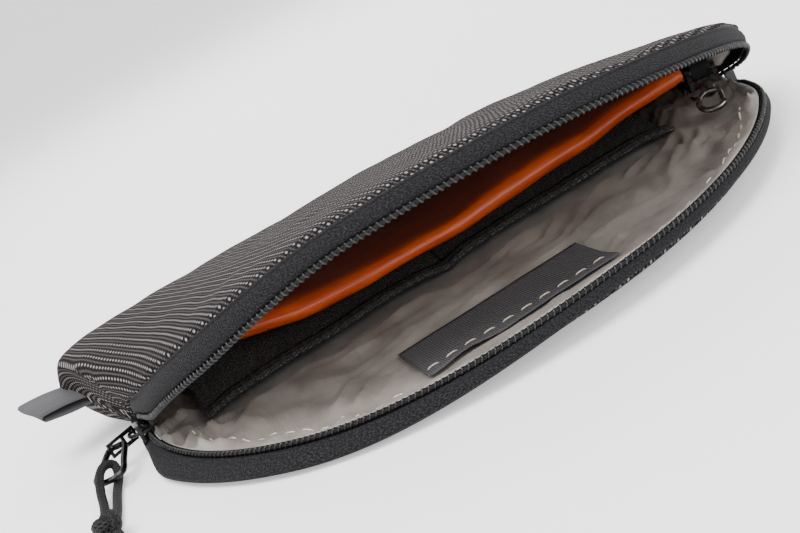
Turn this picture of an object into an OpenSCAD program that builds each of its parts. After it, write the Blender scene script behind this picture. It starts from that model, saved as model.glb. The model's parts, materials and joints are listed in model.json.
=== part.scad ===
// Zippered neck pouch wallet, shown open and lying on its lower panel.
// +Z is up, +X runs along the pouch and the mouth faces -Y.
// Origin: centre of the pouch's footprint, on the surface that it lies on.

/* [Mouth and zip] */
// Radius of the arc that the zip follows in plan
mouth_r = 88; // [84:0.5:92]
// Where the zip starts on the left side, in degrees from the front centre
zip_start = -89.5; // [-90:0.5:-88]
// Where the zip ends on the right side, in degrees from the front centre
zip_end = 77.5; // [76:0.5:79]
// Height of the closed zip's centre line above the surface
zip_z = 6; // [5.5:0.1:7]
// How far the upper lip stands open, in degrees
open_angle = 24; // [15:1:30]
// Width of the zip tape that shows beside each coil
tape_w = 6; // [5:0.5:6.5]

/* [Pouch body] */
// Distance from the mouth arc's centre to the rear edge
rear_y = 45; // [40:1:50]
// Reach of the rear left corner from the mouth arc's centre
left_x = 100; // [96:1:103]
// Reach of the rear right corner from the mouth arc's centre
right_x = 94.5; // [92:0.5:98]
// Radius of the two rear corners in plan
corner_r = 22; // [16:1:26]
// Height of the side and rear seam above the surface
seam_z = 10; // [7:0.5:11]
// Height of the stuffed pouch at its crown
crown_z = 27; // [25:0.5:29]
// Thickness of the padded outer textile
panel_t = 1.2; // [0.8:0.1:1.4]
// Thickness of the satin lining
lining_t = 0.5; // [0.3:0.1:0.6]

/* [Pockets] */
// Length of the elastic card pocket
pocket_l = 138; // [130:1:140]
// Depth of the elastic card pocket
pocket_d = 32; // [28:1:34]
// Length of the orange document sleeve
sleeve_l = 134.5; // [126:0.5:138]
// Depth of the orange document sleeve, front edge to rear seam
sleeve_d = 50; // [40:1:52]
// Thickness of the orange document sleeve
sleeve_t = 3.6; // [3:0.1:3.8]
// Length and width of the woven label patch
label_size = [48, 22]; // [40:1:50]

/* [Slider and pull] */
// Length of the slider along the zip
slider_l = 8.4; // [7:0.1:8.6]
// Wire thickness of the pull ring
ring_wire = 1.6; // [1.2:0.1:1.8]
// Diameter of the pull cord
cord_d = 2.2; // [1.8:0.1:2.4]

/* [Hidden] */

$fn = 48;
clear = 0.3;                       // gap between pieces that only lie on each other
shift = [8.5, 21.85];               // mouth arc's centre in the pouch's own frame
coil_r = 0.75;                     // half thickness of a zip coil
coil_gap = 1.45;                   // coil's centre line from the closed zip's centre line
tape_t = 0.6;                      // thickness of a zip tape
zip_margin = 4.9;                  // degrees that the slider takes up at either end
chord_turn = (zip_start + zip_end) / 2;
hinge_p = [mouth_r * sin(zip_start), -mouth_r * cos(zip_start), zip_z];
slider_rest = zip_start + 1.5;     // slider's centre when the zip is open
lip_edge_z = zip_z + coil_gap + tape_w;
lip_crown = 10;                    // rise of the lip's crown above its edge
wall_run = 22;                     // run over which the rear panel reaches its crown
rim_run = 13;                      // run over which the lower panel curls up to the seam
floor_z = panel_t + clear;         // where the lower lining lies
lining_top = floor_z + lining_t;

function on_arc(r, a) = [r * sin(a), -r * cos(a)];
function unit(v) = v / norm(v);
function clamp(t) = min(1, max(0, t));
function ease(t) = let (u = clamp(t)) u * u * (3 - 2 * u);
function swell(t, p) = 1 - pow(1 - clamp(t), p);

// Rear outline in plan, from the zip's right end, round the back, to its left end
rear_right = [89, 2];
rear_left = [-89, 8.5];
rear_outline = concat(
    [for (t = [0 : 0.25 : 0.75])
        rear_right + t * ([right_x, rear_y - corner_r] - rear_right)],
    [for (a = [0 : 15 : 90])
        [right_x - corner_r, rear_y - corner_r] + corner_r * [cos(a), sin(a)]],
    [for (t = [0.1 : 0.1 : 0.9])
        [right_x - corner_r - t * (left_x + right_x - 2 * corner_r), rear_y]],
    [for (a = [90 : 15 : 180])
        [corner_r - left_x, rear_y - corner_r] + corner_r * [cos(a), sin(a)]],
    [for (t = [0.25 : 0.25 : 1])
        [-left_x, rear_y - corner_r] + t * (rear_left - [-left_x, rear_y - corner_r])]);
heart = [0, -10];                  // the rear outline's points face inwards to here
split_x = 83;                      // reach of the rear panel's front edge to either side
split_y = -4;                      // how far back that edge lies, clear of the open lip

function inward(p, e) = p + e * unit(heart - p);
function end_gap(p) = min(norm(p - rear_right), norm(p - rear_left));
function seam_height(p) = 1.2 + (seam_z - 1.2) * ease(end_gap(p) / 26);

// Closed shell between two grids of points that have the same size
module shell(top, under) {
    rows = len(top);
    cols = len(top[0]);
    count = rows * cols;
    pts = concat([for (r = top) each r], [for (r = under) each r]);
    function at(i, j) = i * cols + j;
    function quad(a, b, c, d) = [[a, b, c], [a, c, d]];
    skin = [for (i = [0 : rows - 2], j = [0 : cols - 2])
        each quad(at(i, j), at(i, j + 1), at(i + 1, j + 1), at(i + 1, j))];
    back = [for (f = skin) [f[0] + count, f[2] + count, f[1] + count]];
    sides = [for (i = [0 : rows - 2]) each concat(
        quad(at(i, 0), at(i + 1, 0), at(i + 1, 0) + count, at(i, 0) + count),
        quad(at(i + 1, cols - 1), at(i, cols - 1),
             at(i, cols - 1) + count, at(i + 1, cols - 1) + count))];
    ends = [for (j = [0 : cols - 2]) each concat(
        quad(at(0, j + 1), at(0, j), at(0, j) + count, at(0, j + 1) + count),
        quad(at(rows - 1, j), at(rows - 1, j + 1),
             at(rows - 1, j + 1) + count, at(rows - 1, j) + count))];
    polyhedron(pts, concat(skin, back, sides, ends));
}

// Upper rear dome: e runs inwards from the seam, lower by drop and smaller by inset
function rear_point(p, t, inset, drop) =
    let (split = [(split_x - inset) * cos(atan2(p[1] - heart[1], p[0])) - 1, split_y],
         start = inward(p, inset),
         q = start + t * (split - start),
         e = norm(q - start),
         low = seam_height(p) + panel_t + clear)
    [q[0], q[1], low + (crown_z - drop - low) * swell(e / wall_run, 2.6)];
module rear_dome(inset, drop, t) {
    steps = [0, 0.03, 0.08, 0.15, 0.25, 0.4, 0.6, 0.8, 1];
    shell([for (p = rear_outline) [for (s = steps) rear_point(p, s, inset, drop)]],
          [for (p = rear_outline) [for (s = steps) rear_point(p, s, inset + t, drop + t)]]);
}

// Upper lip's dome in the closed pose, from the mouth arc back to the fold line
function lip_height(e, drop) = lip_edge_z - drop + lip_crown * swell(e / 32, 2.2)
    + (crown_z - lip_edge_z - lip_crown) * ease((e - 30) / 40);
function lip_point(a, t, r, drop) =
    let (start = on_arc(r, a),
         turned = a - chord_turn,
         fold_x = 0.975 * r * sin(turned),
         rise = lip_height(r - abs(fold_x), drop) - zip_z,
         fold_y = -mouth_r * cos((zip_end - zip_start) / 2) - 2 - 0.45 * rise,
         fold = [fold_x * cos(chord_turn) - fold_y * sin(chord_turn),
                 fold_x * sin(chord_turn) + fold_y * cos(chord_turn)],
         q = start + t * (fold - start))
    [q[0], q[1], lip_height(r - norm(q), drop)];
module lip_dome(inset, drop, t) {
    steps = [0, 0.06, 0.14, 0.25, 0.4, 0.6, 0.8, 1];
    first = zip_start + zip_margin + 3;
    last = zip_end - zip_margin - 3;
    angles = [for (i = [0 : 26]) first + i * (last - first) / 26];
    r = mouth_r - inset;
    shell([for (a = angles) [for (s = steps) lip_point(a, s, r, drop)]],
          [for (a = angles) [for (s = steps) lip_point(a, s, r - t, drop + t)]]);
}

// Puts the lip's pieces, drawn closed, into the open pose
module opened() {
    translate(hinge_p) rotate([0, 0, chord_turn]) rotate([-open_angle, 0, 0])
        rotate([0, 0, -chord_turn]) translate(-hinge_p) children();
}

// Ring-shaped piece along the mouth arc, its section drawn as [radius, height]
module along_arc(first, last) {
    rotate([0, 0, first - 90]) rotate_extrude(angle = last - first, $fn = 180) children();
}

module on_body() {
    translate([shift[0], shift[1], 0]) children();
}

// Frame of a piece on the slider: +X outwards, +Y along the zip, origin on its centre line
module on_slider() {
    on_body() rotate([0, 0, slider_rest - 90]) translate([mouth_r, 0, zip_z]) children();
}

// Closed tray: rings of points from its edge inwards, with a flat middle
module tray(top, under) {
    rows = len(top);
    cols = len(top[0]);
    count = rows * cols;
    pts = concat([for (r = top) each r], [for (r = under) each r]);
    function at(i, j) = (i % rows) * cols + j;
    function quad(a, b, c, d) = [[a, b, c], [a, c, d]];
    skin = [for (i = [0 : rows - 1], j = [0 : cols - 2])
        each quad(at(i, j), at(i, j + 1), at(i + 1, j + 1), at(i + 1, j))];
    back = [for (f = skin) [f[0] + count, f[2] + count, f[1] + count]];
    sides = [for (i = [0 : rows - 1])
        each quad(at(i, 0), at(i + 1, 0), at(i + 1, 0) + count, at(i, 0) + count)];
    middle = [[for (i = [rows - 1 : -1 : 0]) at(i, cols - 1)],
              [for (i = [0 : rows - 1]) at(i, cols - 1) + count]];
    polyhedron(pts, concat(skin, back, sides, middle));
}

function rim(p, t, high) = let (q = inward(p, t * rim_run)) [q[0], q[1], high * pow(1 - t, 2)];
module lower_panel() {
    steps = [0, 0.12, 0.28, 0.45, 0.7, 1];
    edge = concat([for (a = [zip_start - 1 : 4.2 : zip_end + 1]) [on_arc(mouth_r - 0.8, a), 0]],
                  [for (p = rear_outline) [p, seam_height(p)]]);
    color("#33333a") on_body()
        tray([for (p = edge) [for (s = steps) rim(p[0], s, p[1]) + [0, 0, panel_t]]],
             [for (p = edge) [for (s = steps) rim(p[0], s, p[1])]]);
}

module lower_lining() {
    color("#b9afa0") on_body() translate([0, 0, floor_z]) linear_extrude(lining_t)
        polygon(concat(
            [for (a = [zip_start - 1 : 3 : zip_end + 1]) on_arc(mouth_r - 3.2, a)],
            [for (p = rear_outline) inward(p, rim_run)]));
}

module rear_upper_panel() {
    color("#3a3a40") on_body() rear_dome(0, 0, panel_t);
}

module rear_upper_lining() {
    color("#b9afa0") on_body() rear_dome(panel_t + clear, panel_t + clear, lining_t);
}

module front_upper_panel() {
    color("#3a3a40") on_body() opened() lip_dome(0, 0, panel_t);
}

module front_upper_lining() {
    color("#b9afa0") on_body() opened() lip_dome(3, panel_t + clear, lining_t);
}

module lower_zip_tape() {
    color("#2c2c30") on_body() along_arc(zip_start, zip_end)
        translate([mouth_r - tape_t / 2, 1.6])
            square([tape_t, zip_z - coil_gap - coil_r - 1.65]);
}

module upper_zip_tape() {
    low = zip_z + coil_gap + coil_r + 0.05;
    color("#2c2c30") on_body() opened() along_arc(zip_start + zip_margin, zip_end - zip_margin)
        translate([mouth_r - tape_t / 2, low]) square([tape_t, lip_edge_z - 0.4 - low]);
}

module lower_zip_coil() {
    color("#151517") on_body() along_arc(zip_start, zip_end)
        translate([mouth_r, zip_z - coil_gap]) circle(coil_r);
}

module upper_zip_coil() {
    color("#151517") on_body() opened() along_arc(zip_start + zip_margin, zip_end - zip_margin)
        translate([mouth_r, zip_z + coil_gap]) circle(coil_r);
}

// Corded seam where the lower tape meets the lower panel
module lower_seam_cord() {
    color("#1b1b1e") on_body() along_arc(zip_start, zip_end)
        translate([mouth_r, 0.75]) circle(0.7);
}

// Corded seam where the upper tape meets the textile of the upper lip
module upper_seam_cord() {
    color("#1b1b1e") on_body() opened() along_arc(zip_start + zip_margin, zip_end - zip_margin)
        translate([mouth_r + 0.35, lip_edge_z + 0.45]) difference() {
            circle(0.8);
            translate([-2, -1]) square([1.7, 2]);
        }
}

// Crimped stop behind the open slider, on the left
module zip_bottom_stop() {
    color("#2a2a2c") on_body() rotate([0, 0, zip_start - 90 - 2.9]) translate([mouth_r + 0.6, 0, zip_z])
        difference() {
            cube([2.6, 1.8, 3.8], center = true);
            cube([1, 3, 2.4], center = true);
        }
}

// Crimped stop past the closed slider, on the right
module zip_top_stop() {
    color("#2a2a2c") on_body() rotate([0, 0, zip_end - 90 + 3.8])
        translate([mouth_r - 0.2, 0, zip_z]) cube([2.2, 2.2, 4.2], center = true);
}

pocket_c = [-5, -2];               // centre of the card pocket, from the arc's centre
pocket_z = lining_top + 1.1;       // a card's thickness above the lining

module card_pocket() {
    color("#2b2b2e") on_body() translate([pocket_c[0], pocket_c[1], 0]) {
        difference() {
            translate([-pocket_l / 2, -pocket_d / 2, lining_top + 0.05])
                cube([pocket_l, pocket_d, pocket_z + 1 - lining_top - 0.05]);
            for (side = [-1, 1])
                translate([side * pocket_l / 4 - pocket_l / 4 + 3, -pocket_d / 2 - 1,
                           lining_top - 1])
                    cube([pocket_l / 2 - 6, pocket_d - 3, pocket_z - lining_top + 1]);
        }
    }
}

module pocket_hem() {
    color("#222225") on_body()
        translate([pocket_c[0], pocket_c[1] - pocket_d / 2 + 0.2, pocket_z + 1.05])
            translate([-pocket_l / 2 + 1, 0, 0]) cube([pocket_l - 2, 4.5, 0.6]);
}

module pocket_divider() {
    color("#111113") on_body()
        translate([pocket_c[0] - 0.5, pocket_c[1] - pocket_d / 2 + 5, pocket_z + 1.05])
            cube([1, pocket_d - 6, 0.4]);
}

module label_patch() {
    color("#3b3c42") on_body() translate([-7.5, -59.5, lining_top + 0.05])
        linear_extrude(0.6) square(label_size, center = true);
}

// Folded sleeve for a passport or papers: its fold faces the mouth
module document_sleeve() {
    r = sleeve_t / 2;
    color("#e2571f") on_body() translate([-61, -14.5 + r, 15]) rotate([-4, 0, 0]) {
        translate([0, 0, -r]) cube([sleeve_l, sleeve_d - r, sleeve_t]);
        rotate([0, 90, 0]) cylinder(h = sleeve_l, r = r);
    }
}

// Folded webbing loop sewn into the side seam
module side_tab() {
    color("#2a2a2e") on_body() translate([-left_x - 0.6, 25, seam_z + 0.9])
        rotate([-90, 0, 0]) linear_extrude(10) difference() {
            union() {
                translate([-9.6, -1.3]) square([9.6, 2.6]);
                translate([-9.6, 0]) circle(1.3);
            }
            translate([-9.6, -0.4]) square([7.5, 0.8]);
            translate([-9.6, 0]) circle(0.4);
        }
}

// Two plates joined by a bridge that runs between the coils
module slider_body() {
    plate_t = 1;
    gap = 1.3;
    color("#3c3d40") on_slider() {
        for (side = [-1, 1])
            translate([side * (gap + plate_t / 2), 0, 0]) rotate([0, 90, 0])
                translate([0, 0, -plate_t / 2]) linear_extrude(plate_t) polygon([
                    [-3.3, slider_l / 2 - 1], [-2.3, slider_l / 2], [2.3, slider_l / 2],
                    [3.3, slider_l / 2 - 1], [2.4, -slider_l / 2], [-2.4, -slider_l / 2]]);
        translate([-gap - 0.1, slider_l / 2 - 2.6, -0.4]) cube([2 * gap + 0.2, 2.4, 0.8]);
    }
}

// Arched bar on the slider's outer plate that holds the pull
module slider_bail() {
    bend_r = 2.6;
    foot = 9;                      // degrees that the slider's plate takes off each leg
    color("#4a4b4e") on_slider() translate([eye[0] - bend_r, 0, 0]) rotate([0, 0, foot - 90])
        rotate_extrude(angle = 180 - 2 * foot, $fn = 48) translate([bend_r, 0]) circle(0.45, $fn = 24);
}

// Small metal eye between the bail and the ring
eye = [4.55, 0, 0];                // bail's apex on the slider
eye_turn = 25;                     // plan angle of the eye and its reach to the ring's bar
eye_l = 3.9;
ring_at = eye + eye_l * [cos(eye_turn), sin(eye_turn), 0];
ring_l = 12.8;                     // ring's length, its wire's centre line
ring_w = [2.4, 3.8];               // its half widths at the bail and at the far end

module pull_link() {
    color("#5a5b5e") on_slider() translate(eye) rotate([0, 0, eye_turn]) rotate([90, 0, 0])
        linear_extrude(0.7, center = true) difference() {
            translate([-2, -1.9]) square([eye_l + 4.4, 3.8]);
            translate([-1.35, -1]) square([2.7, 2]);
            translate([eye_l - 1.7, -1.2]) square([3.4, 2.4]);
        }
}

module on_ring() {
    on_slider() translate(ring_at) rotate([0, 12, 64]) children();
}

// Catmull-Rom point between b and c
function curve(a, b, c, d, t) = 0.5 * (2 * b + t * (c - a) + t * t * (2 * a - 5 * b + 4 * c - d)
    + t * t * t * (3 * b - a - 3 * c + d));

// Points of a smooth line through the route, open or closed
function smooth_open(p, n) = let (last = len(p) - 1) concat(
    [for (i = [0 : last - 1], k = [0 : n - 1])
        curve(p[max(i - 1, 0)], p[i], p[i + 1], p[min(i + 2, last)], k / n)],
    [p[last]]);
function smooth_loop(p, n) = let (m = len(p))
    [for (i = [0 : m - 1], k = [0 : n - 1])
        curve(p[(i + m - 1) % m], p[i], p[(i + 1) % m], p[(i + 2) % m], k / n)];

// Sections of a round line along the points q
function section(c, t, r, n) = let (side = unit(cross(t, [0, 0, 1])), up = cross(side, t))
    [for (k = [0 : n - 1]) c + r * (cos(360 * k / n) * side + sin(360 * k / n) * up)];

module tube(q, r, n, closed) {
    m = len(q);
    sections = [for (i = [0 : m - 1]) section(q[i], closed
        ? unit(q[(i + 1) % m] - q[(i + m - 1) % m])
        : unit(q[min(i + 1, m - 1)] - q[max(i - 1, 0)]), r, n)];
    function at(i, k) = (i % m) * n + k % n;
    skin = [for (i = [0 : m - (closed ? 1 : 2)], k = [0 : n - 1])
        each [[at(i, k), at(i, k + 1), at(i + 1, k + 1)], [at(i, k), at(i + 1, k + 1), at(i + 1, k)]]];
    caps = closed ? [] : [[for (k = [n - 1 : -1 : 0]) k], [for (k = [0 : n - 1]) at(m - 1, k)]];
    polyhedron([for (s = sections) each s], concat(skin, caps));
}

module pull_ring() {
    a = ring_w[0];
    b = ring_w[1];
    route = [[0, -a + 1, 0], [0, 0, 0], [0, a - 1, 0], [1, a, 0], [ring_l / 2, (a + b) / 2, 0],
             [ring_l - 2, b, 0], [ring_l - 0.3, b - 1.8, 0], [ring_l, 0, 0],
             [ring_l - 0.3, 1.8 - b, 0], [ring_l - 2, -b, 0], [ring_l / 2, -(a + b) / 2, 0],
             [1, -a, 0]];
    color("#19191b") on_ring() tube(smooth_loop(route, 3), ring_wire / 2, 10, true);
}

// The cord's line: from one tail through the knot and round the ring's far bar and back
cord_route = [[-101.6, -52, 1.2], [-102, -48, 2], [-102.7, -43, 3], [-102.1, -37, 1.6],
              [-101.4, -30, 1.2], [-100.6, -22, 1.2], [-99.9, -17, 1.2], [-98.6, -13, 2.3],
              [-98.6, -10, 4.2], [-100.5, -11.6, 5.5], [-102.2, -16, 5.4], [-103.6, -20, 3],
              [-104.1, -24, 1.4], [-104.5, -30, 1.2], [-104.9, -37, 1.6], [-104.3, -43, 3],
              [-105, -48, 2], [-105.6, -52, 1.2]];

module pull_cord() {
    color("#1a1a1c") on_body() tube(smooth_open(cord_route, 3), cord_d / 2, 8, false);
}

// Overhand knot that ties the cord's two legs
module cord_knot() {
    color("#161618") on_body() translate([-103.5, -43.5, 3.85]) rotate([90, 0, 0])
        rotate_extrude()
            polygon([[0, -4], [2.2, -4], [3.5, -2.4], [3.8, 0], [3.5, 2.4], [2.2, 4], [0, 4]]);
}

// Strap sewn to the lining at the right end; the key clip hangs from it
clip_at = [79.5, -13.5, 12.5];     // clip's swivel eye
clip_turn = 27;                    // plan angle by which the clip leans off the mouth's depth
clip_tilt = 25;                    // angle at which it hangs below level

module on_clip() {
    on_body() translate(clip_at) rotate([0, 0, -clip_turn]) rotate([clip_tilt, 0, 0]) children();
}

module key_strap() {
    color("#1f1f22") on_clip() rotate([90, 0, 90]) linear_extrude(5, center = true)
        difference() {
            union() {
                circle(2);
                translate([0, -2]) square([12, 4]);
            }
            circle(1.3);
        }
}

module clip_swivel() {
    color("#8f9094") on_clip() {
        rotate([0, 90, 0]) cylinder(h = 7.4, r = 0.7, center = true, $fn = 24);
        for (side = [-1, 1])
            translate([side * 3.4, -2.4, 0]) cube([1.2, 6.2, 1.4], center = true);
        translate([0, -5.6, 0]) cube([8, 1.8, 1.4], center = true);
        translate([0, -7.2, 0]) rotate([90, 0, 0]) cylinder(h = 2.6, r = 0.9, center = true);
    }
}

module clip_hook() {
    color("#a5a6aa") on_clip() translate([0, -13, 0]) {
        rotate([0, 0, 50]) rotate_extrude(angle = 260) translate([3.6, 0]) circle(0.75, $fn = 24);
        translate([0, 4.4, 0]) rotate([90, 0, 0]) difference() {
            cylinder(h = 2.4, r = 1.8, center = true);
            cylinder(h = 3, r = 1.2, center = true);
        }
    }
}

module clip_gate() {
    color("#c2c3c6") on_clip() translate([2.4, -13, 0]) rotate([90, 0, 0])
        cylinder(h = 3.6, r = 0.6, center = true, $fn = 24);
}

lower_panel();
lower_lining();
rear_upper_panel();
rear_upper_lining();
front_upper_panel();
front_upper_lining();
lower_zip_tape();
upper_zip_tape();
lower_zip_coil();
upper_zip_coil();
lower_seam_cord();
upper_seam_cord();
zip_bottom_stop();
zip_top_stop();
card_pocket();
pocket_hem();
pocket_divider();
label_patch();
document_sleeve();
side_tab();
slider_body();
slider_bail();
pull_link();
pull_ring();
pull_cord();
cord_knot();
key_strap();
clip_swivel();
clip_hook();
clip_gate();
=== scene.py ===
"""Looks of a zippered neck pouch wallet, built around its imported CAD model.

Lengths are in mm until a mesh is made."""

import json
import math

import bpy
import numpy as np
from mathutils import Matrix, Vector, noise


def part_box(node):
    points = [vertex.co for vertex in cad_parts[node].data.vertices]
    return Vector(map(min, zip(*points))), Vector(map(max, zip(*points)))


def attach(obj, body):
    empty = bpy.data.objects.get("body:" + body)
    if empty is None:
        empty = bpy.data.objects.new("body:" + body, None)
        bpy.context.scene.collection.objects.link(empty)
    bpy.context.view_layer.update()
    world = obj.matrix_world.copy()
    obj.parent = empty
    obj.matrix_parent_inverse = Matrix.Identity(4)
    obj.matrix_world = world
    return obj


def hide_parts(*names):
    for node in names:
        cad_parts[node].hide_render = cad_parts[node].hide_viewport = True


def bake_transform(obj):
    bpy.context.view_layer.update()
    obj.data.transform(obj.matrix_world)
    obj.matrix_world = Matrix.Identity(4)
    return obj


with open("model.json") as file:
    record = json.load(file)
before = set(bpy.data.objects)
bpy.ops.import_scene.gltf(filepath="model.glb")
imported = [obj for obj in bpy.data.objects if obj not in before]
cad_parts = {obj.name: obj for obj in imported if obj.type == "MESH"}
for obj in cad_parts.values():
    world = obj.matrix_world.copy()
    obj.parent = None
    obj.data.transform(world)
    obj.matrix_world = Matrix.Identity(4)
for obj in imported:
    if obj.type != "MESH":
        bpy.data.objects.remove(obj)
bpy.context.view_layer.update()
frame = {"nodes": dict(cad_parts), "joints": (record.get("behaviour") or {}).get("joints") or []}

MM = 0.001
JOINTS = {joint["name"]: joint for joint in frame["joints"]}
CENTRE = np.array(JOINTS["slider_travel"]["pos_m"]) / MM  # the mouth arc's centre
HINGE = np.array(JOINTS["mouth_close"]["pos_m"]) / MM
HINGE_AXIS = np.array(JOINTS["mouth_close"]["axis"])
OPEN = math.radians(JOINTS["mouth_close"]["range_deg"][1])

MOUTH_R = 88.0  # the zip's arc
ZIP_START = -89.5
ZIP_END = 76.0  # here the arc ends and the zip hooks inwards
HOOK_R = 7.0
HOOK_END = 150.0
TAIL_END = 210.0  # past the hook the zip runs straight to where its halves meet
TAIL = 7.0
ZIP_Z = HINGE[2]
COIL_GAP = 1.45
COIL_R = 0.55
SEAM_Z = 10.0
PANEL = 1.2  # thickness of the outer cloth
LIFT = 4.2  # how far the lower lip curls up right of the middle
LIFT_DROP = 3.2  # how much of that is gone at the right end
STITCH_R = 82.3
TAIL_ROWS = 24  # rows of a cloth's grid past the arc's end
TAPE_W = 4.6
SAG_COIL = 4.0  # the upper lip sags next to the slider, its coil more than its seam
SAG_LESS = 1.8
TAPE_TOP = ZIP_Z + COIL_GAP + TAPE_W
LOWER_COIL_Z = ZIP_Z - COIL_GAP
UPPER_COIL_Z = ZIP_Z + COIL_GAP


def box_mm(node):
    low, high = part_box(node)
    return np.array(low) / MM, np.array(high) / MM


# ---------------------------------------------------------------- shapes


def smooth(x, low, high):
    t = np.clip((np.asarray(x, float) - low) / (high - low), 0, 1)
    return t * t * (3 - 2 * t)


def swell(t, power):
    return 1 - (1 - np.clip(t, 0, 1)) ** power


def opened(points):
    """Turns points of the closed lip into the open rest pose."""
    v = points - HINGE
    along = (v @ HINGE_AXIS)[..., None] * HINGE_AXIS
    turned = v * math.cos(OPEN) - np.cross(HINGE_AXIS, v) * math.sin(OPEN)
    return HINGE + turned + along * (1 - math.cos(OPEN))


def zip_plan(s, out=0.0):
    """Plan points of the zip's line at angles s in degrees, moved outwards by out."""
    s = np.asarray(s, float)
    inner = MOUTH_R - HOOK_R
    end = math.radians(ZIP_END)
    a = np.radians(s)
    ray = np.stack([np.sin(a), -np.cos(a)], -1)
    hook = CENTRE[:2] + inner * np.array([math.sin(end), -math.cos(end)])
    on_arc = CENTRE[:2] + (MOUTH_R + out) * ray
    last = math.radians(HOOK_END)
    ahead = (np.maximum(s, HOOK_END) - HOOK_END)[..., None] * TAIL / (TAIL_END - HOOK_END)
    turned = np.radians(np.minimum(s, HOOK_END))
    hook_ray = np.stack([np.sin(turned), -np.cos(turned)], -1)
    on_hook = hook + (HOOK_R + out) * hook_ray + ahead * np.array([math.cos(last), math.sin(last)])
    return np.where((s <= ZIP_END)[..., None], on_arc, on_hook)


def lip_lift(s):
    """How far the lower lip stands off the ground where it curls up, right of the middle."""
    return LIFT * smooth(s, -42, 10) - LIFT_DROP * smooth(s, 52, 80)


def zip_angles(first, last, step=1.2):
    """Angles at about equal distances along the zip."""
    arc = np.arange(first, min(last, ZIP_END), step)
    if last <= ZIP_END:
        return np.append(arc, last)
    return np.concatenate([arc, np.arange(ZIP_END, last, step * 7), [last]])


def zip_strip(s, profile):
    """Grid of points: a section of (outwards, height) pairs swept along the zip."""
    rows = [np.concatenate([zip_plan(s, out), np.full((len(s), 1), z)], 1) for out, z in profile]
    return np.stack(rows, 1)


def wave(points, size, seed, strength):
    """Seeded noise in mm at each point of an array."""
    flat = points.reshape(-1, 3)
    values = [noise.noise(Vector((p[0] / size + seed, p[1] / size - seed, p[2] / size))) for p in flat]
    return strength * np.array(values).reshape(points.shape[:-1])


def normals(grid):
    du = np.gradient(grid, axis=0)
    dv = np.gradient(grid, axis=1)
    n = np.cross(du, dv)
    return n / np.maximum(np.linalg.norm(n, axis=-1, keepdims=True), 1e-9)


def relax(grid, rounds, weight=0.5):
    """Smooths a grid's inner points."""
    g = grid.copy()
    for _ in range(rounds):
        mean = (g[:-2, 1:-1] + g[2:, 1:-1] + g[1:-1, :-2] + g[1:-1, 2:]) / 4
        g[1:-1, 1:-1] += weight * (mean - g[1:-1, 1:-1])
    return g


def resample(line, count):
    """Points at equal distances along a smooth line through the given ones."""
    line = np.asarray(line, float)
    ends = np.concatenate([[2 * line[0] - line[1]], line, [2 * line[-1] - line[-2]]])
    t = np.linspace(0, 1, 8, endpoint=False)[:, None]
    pieces = []
    for a, b, c, d in zip(ends, ends[1:], ends[2:], ends[3:]):
        pieces.append(0.5 * (2 * b + (c - a) * t + (2 * a - 5 * b + 4 * c - d) * t ** 2
                             + (3 * b - a - 3 * c + d) * t ** 3))
    dense = np.concatenate(pieces + [line[-1:]])
    run = np.concatenate([[0], np.cumsum(np.linalg.norm(np.diff(dense, axis=0), axis=1))])
    at = np.linspace(0, run[-1], count)
    return np.stack([np.interp(at, run, dense[:, k]) for k in range(dense.shape[1])], 1)


def flatten(grid, rounds=1500):
    """Lays a grid out flat with nearly its own lengths, for the weave's coordinates."""
    ray = grid[..., :2] - HEART
    ray /= np.maximum(np.linalg.norm(ray, axis=-1, keepdims=True), 1e-6)
    uv = grid[..., :2] + ray * (grid[..., 2].max() - grid[..., 2:]) * 0.8
    families = [((slice(0, -1), slice(None)), (slice(1, None), slice(None))),
                ((slice(None), slice(0, -1)), (slice(None), slice(1, None))),
                ((slice(0, -1), slice(0, -1)), (slice(1, None), slice(1, None))),
                ((slice(0, -1), slice(1, None)), (slice(1, None), slice(0, -1)))]
    real = [np.linalg.norm(grid[b] - grid[a], axis=-1) for a, b in families]
    for _ in range(rounds):
        move = np.zeros_like(uv)
        for (a, b), length in zip(families, real):
            d = uv[b] - uv[a]
            now = np.maximum(np.linalg.norm(d, axis=-1), 1e-6)
            step = d * ((now - length) / now)[..., None] * 0.11
            move[a] += step
            move[b] -= step
        uv += move
    return uv


# ---------------------------------------------------------------- meshes


def finish_mesh(name, verts, faces, uv=None):
    mesh = bpy.data.meshes.new(name)
    mesh.from_pydata((np.asarray(verts) * MM).tolist(), [], faces)
    if uv is not None:
        layer = mesh.uv_layers.new(name="weave")
        loops = np.zeros(len(mesh.loops), np.int32)
        mesh.loops.foreach_get("vertex_index", loops)
        layer.data.foreach_set("uv", np.asarray(uv, np.float32)[loops].ravel())
    mesh.polygons.foreach_set("use_smooth", [True] * len(mesh.polygons))
    mesh.update()
    obj = bpy.data.objects.new(name, mesh)
    bpy.context.scene.collection.objects.link(obj)
    return obj


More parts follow.
